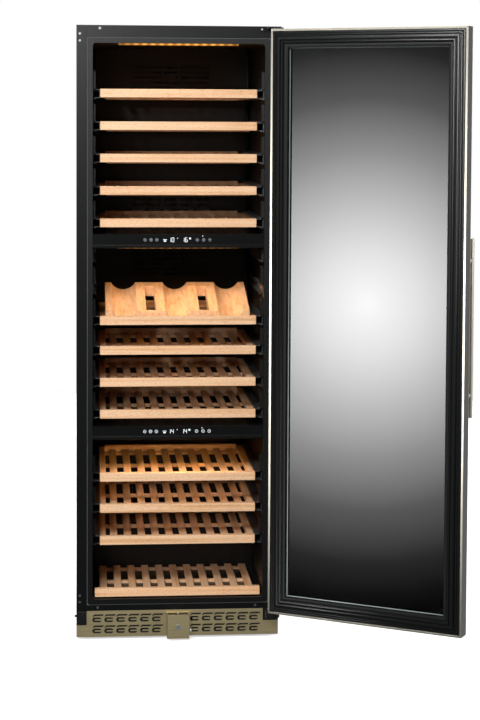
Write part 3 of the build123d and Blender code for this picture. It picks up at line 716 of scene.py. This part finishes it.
def back_screws():
    """Zinc-plated star-drive screws round the edge of the back panel."""
    low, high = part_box("back_panel")
    inset, rows, middle = 12 * MM, 7, 0.11
    bm = bmesh.new()
    for row in range(rows):
        z = low.z + inset + row * (high.z - low.z - 2 * inset) / (rows - 1)
        for x in (low.x + inset, high.x - inset):
            turned(bm, Vector((x, high.y, z)), SCREW_HEAD)
    for x in (-middle, middle):
        for z in (low.z + inset, high.z - inset):
            turned(bm, Vector((x, high.y, z)), SCREW_HEAD)
    bmesh.ops.recalc_face_normals(bm, faces=bm.faces)
    soften_edges(piece_from(bm, "back_screws", "cabinet", "runner_steel"), 0.15)


def foam_plugs():
    """Moulded caps over the two holes that the foam is poured through."""
    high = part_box("back_panel")[1]
    bm = bmesh.new()
    for z in FILLING_HOLES:
        turned(bm, Vector((0, high.y, z)), FOAM_PLUG)
    bmesh.ops.recalc_face_normals(bm, faces=bm.faces)
    soften_edges(piece_from(bm, "foam_plugs", "cabinet", "fan_plastic"), 0.3)


def blank_plate():
    """A blank aluminium plate for the maker's data, glued above the vents."""
    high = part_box("back_panel")[1]
    x, z, half_wide, half_tall = -0.2, 0.3, 45 * MM, 28 * MM
    corners = [(x - half_wide, z - half_tall), (x + half_wide, z - half_tall),
               (x + half_wide, z + half_tall), (x - half_wide, z + half_tall)]
    bm = bmesh.new()
    face = bm.faces.new([bm.verts.new((px, high.y, pz)) for px, pz in rounded_profile(corners, 3 * MM)])
    raised = bmesh.ops.extrude_face_region(bm, geom=[face])["geom"]
    front = [v for v in raised if isinstance(v, bmesh.types.BMVert)]
    bmesh.ops.translate(bm, vec=(0, 0.5 * MM, 0), verts=front)
    bmesh.ops.recalc_face_normals(bm, faces=bm.faces)
    piece_from(bm, "blank_plate", "cabinet", "coil_aluminium")


back_screws()
foam_plugs()
blank_plate()


# ---------------------------------------------------------------- finished CAD shapes
grain = random.Random(7)
for node_name in sorted(n for n in frame["nodes"] if SLOT_OF[n] == "beech"):
    follow_the_grain(softened(node_name, 1.2), grain)
for node_name, edge_mm in {
    "outer_casing": 0.5, "inner_liner": 0.6, "zone_dividers": 0.6, "kick_plate": 0.3, "lock_cover": 0.5,
    "hinge_brackets": 0.6, "hinge_cover": 0.5, "fixed_runners": 0.3, "door_inner_frame": 0.5,
    "evaporator_covers": 0.4, "light_bars": 0.8, "lock_bolt": 0.3,
}.items():
    softened(node_name, edge_mm)
for node_name in sorted(n for n in frame["nodes"] if n.startswith("runners_")):
    softened(node_name, 0.3)
for node_name in ("door_steel_trim", "door_handle"):
    softened(node_name, 0.4, UPRIGHT_STEEL)
# Black lacquer on the base plate, in place of its galvanised finish, paints the shade behind the plinth's
# vents.
softened("base_plate", 0.4, FINISHES["black_paint"])


# ---------------------------------------------------------------- studio
def area_light(name, place, target, size, energy, colour=(1, 1, 1)):
    """A rectangular softbox at a place, facing a target. Its size is in metres, its energy in watts."""
    data = bpy.data.lights.new(name, "AREA")
    data.shape, data.size, data.size_y = "RECTANGLE", size[0], size[1]
    data.energy, data.color = energy, colour
    lamp = bpy.data.objects.new(name, data)
    bpy.context.scene.collection.objects.link(lamp)
    lamp.location = place
    lamp.rotation_euler = (Vector(target) - Vector(place)).to_track_quat("-Z", "Y").to_euler()
    lamp.visible_camera = False
    return lamp


def staged(bm, name, material):
    """A studio object that isn't part of the cooler."""
    mesh = bpy.data.meshes.new(name)
    bm.to_mesh(mesh)
    bm.free()
    made = bpy.data.objects.new(name, mesh)
    bpy.context.scene.collection.objects.link(made)
    mesh.materials.append(material)
    return made


def floor():
    """A pale paper floor that glows enough to meet the white backdrop."""
    material, *_ = surface(
        "pale_paper_floor", Base_Color=shade("#F6F6F5"), Roughness=0.8, Emission_Color=shade("#FFFFFF"),
        Emission_Strength=0.55,
    )
    bm = bmesh.new()
    bmesh.ops.create_circle(bm, cap_ends=True, segments=96, radius=4.5)
    made = staged(bm, "floor", material)
    made.visible_glossy = False
    made.visible_diffuse = False


def make_world():
    """A white backdrop. Gloss sees a dim room, darkest behind the camera and to its left."""
    world = bpy.data.worlds.new("studio")
    bpy.context.scene.world = world
    world.use_nodes = True
    tree = world.node_tree
    tree.nodes.clear()
    path = node(tree, "ShaderNodeLightPath")
    way = node(tree, "ShaderNodeTexCoord").outputs["Generated"]
    toward = node(tree, "ShaderNodeVectorMath", {0: way, 1: (-0.55, -0.83, 0)}, operation="DOT_PRODUCT")
    room = node(tree, "ShaderNodeMapRange", {
        "Value": toward.outputs["Value"], "From Min": 0.55, "From Max": -0.3, "To Min": 0.03, "To Max": 0.6,
    }, interpolation_type="SMOOTHSTEP")
    paper = (1, 1, 1, 1)
    gloss = node(tree, "ShaderNodeBackground", {"Color": paper, "Strength": room.outputs["Result"]})
    soft = node(tree, "ShaderNodeBackground", {"Color": paper, "Strength": 0.16})
    white = node(tree, "ShaderNodeBackground", {"Color": paper, "Strength": 1.0})
    unseen = node(tree, "ShaderNodeMixShader", {
        "Fac": path.outputs["Is Glossy Ray"], 1: soft.outputs[0], 2: gloss.outputs[0],
    })
    seen = node(tree, "ShaderNodeMixShader", {
        "Fac": path.outputs["Is Camera Ray"], 1: unseen.outputs[0], 2: white.outputs[0],
    })
    node(tree, "ShaderNodeOutputWorld", {"Surface": seen.outputs[0]})


CAMERA_PLACE = Vector((-0.267, -5.704, 1.55))


def make_camera():
    """A long lens from the front, a little to the left, at standing eye height."""
    yaw, pitch, roll = math.radians(4.725), math.radians(3.197), math.radians(0.284)
    forward = Vector((math.sin(yaw) * math.cos(pitch), math.cos(yaw) * math.cos(pitch), -math.sin(pitch)))
    right = Vector((math.cos(yaw), -math.sin(yaw), 0))
    level = Matrix((right, right.cross(forward), -forward)).transposed()
    data = bpy.data.cameras.new("camera")
    data.lens, data.sensor_width, data.shift_y = 92.76, 36, -0.2
    camera = bpy.data.objects.new("camera", data)
    bpy.context.scene.collection.objects.link(camera)
    camera.matrix_world = Matrix.Translation(CAMERA_PLACE) @ (level @ Matrix.Rotation(roll, 3, "Z")).to_4x4()
    bpy.context.scene.camera = camera


def round_softbox():
    """A large round softbox, brightest in its middle, that the open door's glass mirrors."""
    peak, radius, away = 13, 1.21, 2.0
    centre = SWING @ Vector((0, glass_high.y, 1.01))
    normal = (DOOR_TURN.to_3x3() @ Vector((0, 1, 0))).normalized()
    sight = (centre - CAMERA_PLACE).normalized()
    bounce = sight - normal * 2 * sight.dot(normal)
    material = bpy.data.materials.new("softbox_glow")
    material.use_nodes = True
    tree = material.node_tree
    tree.nodes.clear()
    where = node(tree, "ShaderNodeTexCoord").outputs["Object"]
    from_middle = node(tree, "ShaderNodeVectorMath", {0: where}, operation="LENGTH")
    fading = node(tree, "ShaderNodeValToRGB", {"Fac": from_middle.outputs["Value"]}, (
        (0.0, "#FFFFFF"), (0.167, "#E6E6E6"), (0.333, "#BFBFBF"), (0.5, "#8F8F8F"), (0.667, "#585858"),
        (0.833, "#262626"), (0.933, "#0E0E0E"), (1.0, "#000000"),
    ))
    glow = node(tree, "ShaderNodeEmission", {"Color": fading.outputs["Color"], "Strength": peak})
    node(tree, "ShaderNodeOutputMaterial", {"Surface": glow.outputs[0]})
    bm = bmesh.new()
    bmesh.ops.create_circle(bm, cap_ends=True, segments=64, radius=1)
    card = staged(bm, "round_softbox", material)
    card.matrix_world = (
        Matrix.Translation(centre + bounce * away) @ bounce.to_track_quat("Z", "Y").to_matrix().to_4x4()
        @ Matrix.Scale(radius, 4)
    )
    card.visible_camera = card.visible_diffuse = card.visible_transmission = card.visible_shadow = False
    return card


def only_on(light, *names):
    """Lets a light fall only on the pieces whose names start so, which no real lamp can do. It lifts
    one finish without the others, so a finish looks different under other lights."""
    lit = bpy.data.collections.new("lit_by_" + light.name)
    for piece in bpy.data.objects:
        if piece.type == "MESH" and piece.name.startswith(names):
            lit.objects.link(piece)
    light.light_linking.receiver_collection = lit


floor()
make_world()
make_camera()
only_on(round_softbox(), "door_glass", "door_steel_trim")
area_light("high_front_softbox", (-1.9, -5.6, 4.1), (0, 0, 0.9), (2.2, 1.6), 410)
area_light("left_softbox", (-3.2, -2.2, 2.4), (0, 0, 0.9), (1.6, 2.4), 40).visible_glossy = False
only_on(
    area_light("left_strip_light", (-1.7, -2.4, 1.5), (0.5, -0.5, 1.2), (0.25, 2.6), 14),
    "door_seal", "door_outer", "door_middle", "door_inner", "glazing", "door_handle",
)
only_on(
    area_light("high_strip_light", (0.6, -2.4, 4.2), (0.7, -0.5, 1.8), (2.4, 0.25), 30),
    "door_seal", "door_outer", "door_middle", "door_inner", "glazing",
)
only_on(
    area_light("casing_reflector", (-0.75, -5.6, 2.35), (-0.3, FRONT, 1.8), (0.8, 0.8), 17),
    "outer_casing", "inner_liner",
)
only_on(
    area_light("plinth_reflector", (-0.2, -2.6, 0.14), (0, FRONT, 0.05), (1.4, 0.22), 7.5),
    "kick_plate", "lock_", "hinge_", "foot_",
)
only_on(
    area_light("warm_reflector", (0, -2.6, 0.3), (0, FRONT, 0.15), (0.8, 0.3), 4, (1, 0.5, 0.16)),
    "bottom_shelf",
)
area_light("right_softbox", (3.2, -1.8, 2.2), (0.3, 0, 0.9), (1.6, 2.4), 60)
area_light("back_softbox", (0.4, 4.2, 2.6), (0, 0, 0.9), (2.6, 2.0), 120)
area_light("overhead_softbox", (0, 0.2, 3.8), (0, 0, 0), (2.4, 2.0), 60)
bar_low, bar_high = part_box("light_bars")
bar_heights = sorted({round(v.co.z, 4) for v in frame["nodes"]["light_bars"].data.vertices})
for row, underside in enumerate(bar_heights[::2]):
    place = (0, (bar_low.y + bar_high.y) / 2, underside - 2 * MM)
    lamp = area_light(
        f"amber_strip_{row}", place, (0, 0.05, underside - 0.4), (0.34, 0.012), 0.9, (1, 0.55, 0.18)
    )
    only_on(lamp, "shelf_", "bottom_shelf")
bpy.context.scene.view_settings.view_transform = "Standard"
